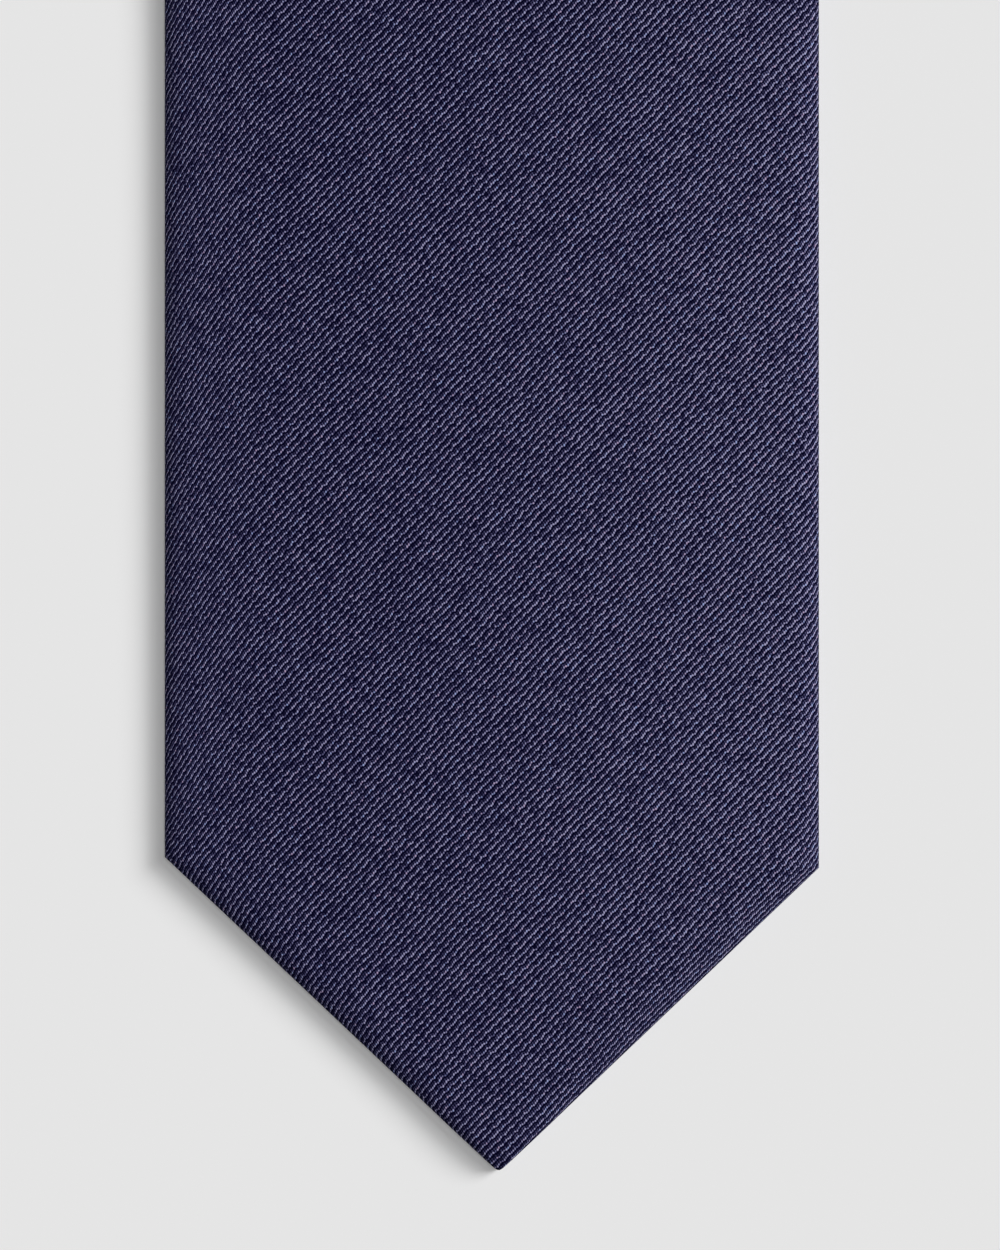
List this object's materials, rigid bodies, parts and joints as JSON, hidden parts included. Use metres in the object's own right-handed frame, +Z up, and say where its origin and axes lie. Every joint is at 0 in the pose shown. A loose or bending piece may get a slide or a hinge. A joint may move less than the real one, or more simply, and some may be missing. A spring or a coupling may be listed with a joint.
{
  "type": "necktie",
  "caption": "Long bias-cut necktie folded once at the neck and laid flat, with a pointed wide blade on top, a narrow tail beneath and a keeper loop on the back.",
  "frame": {"origin": "under the middle of the whole folded tie, on the surface it lies on", "axes": "+X across the tie, +Y along it from the wide blade's point to the neck fold, +Z up out of the wide blade's face"},
  "size_m": [0.08, 0.8658, 0.0137],
  "materials": {
    "silk_twill": "midnight navy silk twill, satin",
    "lining_satin": "plain navy satin lining",
    "interlining_wool": "undyed brushed wool blend",
    "sewing_thread": "navy silk thread",
    "label_ribbon": "blank woven ribbon",
    "care_ribbon": "blank white satin ribbon"
  },
  "bodies": {
    "front_leg": {"front_panel_upper": "silk_twill", "neck_panel_upper": "silk_twill", "front_seam_thread": "sewing_thread", "interlining_upper": "interlining_wool", "slip_stitch_upper": "sewing_thread"},
    "blade_bend": {"front_panel_bend": "silk_twill", "interlining_bend": "interlining_wool", "slip_stitch_bend": "sewing_thread", "blank_label": "label_ribbon", "blank_label_stitch_left": "sewing_thread", "blank_label_stitch_right": "sewing_thread", "keeper_loop": "silk_twill", "keeper_loop_stitch_left": "sewing_thread", "keeper_loop_stitch_right": "sewing_thread"},
    "blade_tip": {"front_panel_tip": "silk_twill", "interlining_tip": "interlining_wool", "slip_stitch_tip": "sewing_thread", "front_tipping": "lining_satin", "front_bar_tack": "sewing_thread", "slack_loop": "sewing_thread"},
    "care_flap": {"care_label": "care_ribbon"},
    "fold_link_1": {"neck_panel_fold_1": "silk_twill", "interlining_fold_1": "interlining_wool", "slip_stitch_fold_1": "sewing_thread"},
    "fold_link_2": {"neck_panel_fold_2": "silk_twill", "interlining_fold_2": "interlining_wool", "slip_stitch_fold_2": "sewing_thread"},
    "tail_leg": {"neck_panel_lower": "silk_twill", "tail_panel": "silk_twill", "tail_seam_thread": "sewing_thread", "interlining_tail": "interlining_wool", "slip_stitch_tail": "sewing_thread", "tail_tipping": "lining_satin", "tail_bar_tack": "sewing_thread"}
  },
  "joints": [
    {"name": "neck_fold_upper", "type": "hinge", "parent": "front_leg", "child": "fold_link_1", "pos_m": [0, 0.42768, 0.01011], "axis": [1, 0, 0], "range_deg": [0, 59.7]},
    {"name": "neck_fold_middle", "type": "hinge", "parent": "fold_link_1", "child": "fold_link_2", "pos_m": [0, 0.4298, 0.00696], "axis": [1, 0, 0], "range_deg": [0, 59.7]},
    {"name": "neck_fold_lower", "type": "hinge", "parent": "fold_link_2", "child": "tail_leg", "pos_m": [0, 0.42802, 0.0036], "axis": [1, 0, 0], "range_deg": [0, 59.7]},
    {"name": "blade_bend_upper", "type": "hinge", "parent": "front_leg", "child": "blade_bend", "pos_m": [0, -0.19308, 0.0076], "axis": [-1, 0, 0], "range_deg": [0, 50]},
    {"name": "blade_bend_lower", "type": "hinge", "parent": "blade_bend", "child": "blade_tip", "pos_m": [0, -0.28299, 0.0036], "axis": [-1, 0, 0], "range_deg": [0, 50]},
    {"name": "care_label_flap", "type": "hinge", "parent": "blade_bend", "child": "care_flap", "pos_m": [0, -0.24693, 0.00115], "axis": [1, 0, 0], "range_deg": [0, 160]}
  ],
  "couplings": [
    {"joint": "blade_bend_upper", "follows": "blade_bend_lower", "ratio": 1}
  ]
}
